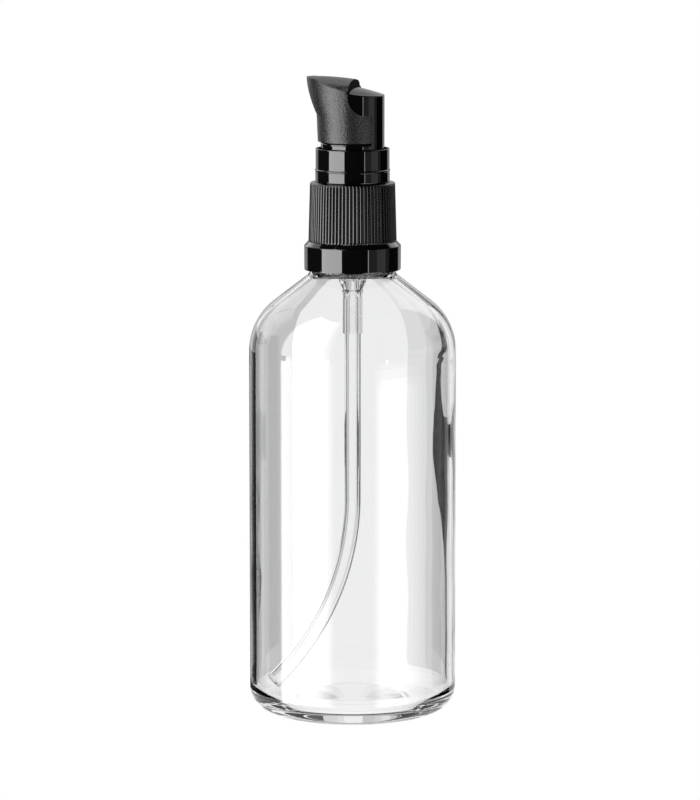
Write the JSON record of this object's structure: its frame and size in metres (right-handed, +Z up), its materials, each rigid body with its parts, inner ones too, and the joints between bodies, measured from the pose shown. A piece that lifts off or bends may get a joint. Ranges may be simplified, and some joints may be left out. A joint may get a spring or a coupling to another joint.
{
  "type": "pump bottle",
  "caption": "Round clear glass bottle with a screw neck, a ribbed black closure over a tamper band, and a finger pump with a leaning beak-shaped head.",
  "frame": {"origin": "centre of the bottle's base, on the table", "axes": "+Z up along the bottle's axis; the head's beak points along -X"},
  "size_m": [0.047, 0.047, 0.145],
  "materials": {
    "clear_glass": "clear polished",
    "black_gloss": "glossy black",
    "black_closure": "satin black",
    "white_foam": "soft white foam",
    "natural_plastic": "natural translucent",
    "steel": "drawn steel wire",
    "soft_plastic": "soft natural",
    "black_matte": "fine-grained matte black",
    "tube_plastic": "natural translucent"
  },
  "bodies": {
    "bottle": {"bottle": "clear_glass", "tamper_band": "black_gloss"},
    "pump": {"pump_housing": "natural_plastic", "pump_cap": "natural_plastic", "collar": "black_gloss", "gasket": "white_foam", "dip_tube": "tube_plastic", "return_spring": "steel", "ball_cage": "natural_plastic"},
    "closure": {"closure": "black_closure"},
    "inlet_ball": {"inlet_ball": "steel"},
    "plunger": {"piston": "soft_plastic"},
    "head": {"actuator_core": "black_gloss", "actuator_shell": "black_matte", "stem": "natural_plastic", "piston_rod": "natural_plastic"},
    "outlet_ball": {"outlet_ball": "steel"}
  },
  "joints": [
    {"name": "pump_lift", "type": "slide", "parent": "bottle", "child": "pump", "axis": [0, 0, 1], "range_m": [0, 0.0045]},
    {"name": "closure_turn", "type": "hinge", "parent": "pump", "child": "closure", "pos_m": [0, 0, 0.115], "axis": [0, 0, 1], "range_deg": [0, 540]},
    {"name": "pump_stroke", "type": "slide", "parent": "pump", "child": "plunger", "axis": [0, 0, -1], "range_m": [0, 0.0045], "stiffness_N_per_m": 1000, "springref_m": -0.008, "deforming": ["return_spring"]},
    {"name": "head_swivel", "type": "hinge", "parent": "plunger", "child": "head", "pos_m": [0, 0, 0.13], "axis": [0, 0, 1], "continuous": true},
    {"name": "inlet_ball_lift", "type": "slide", "parent": "pump", "child": "inlet_ball", "axis": [0, 0, 1], "range_m": [0, 0.0008]},
    {"name": "outlet_ball_lift", "type": "slide", "parent": "head", "child": "outlet_ball", "axis": [0, 0, 1], "range_m": [0, 0.0007]}
  ],
  "couplings": [
    {"joint": "closure_turn", "follows": "pump_lift", "rad_per_m": 2094.4}
  ]
}
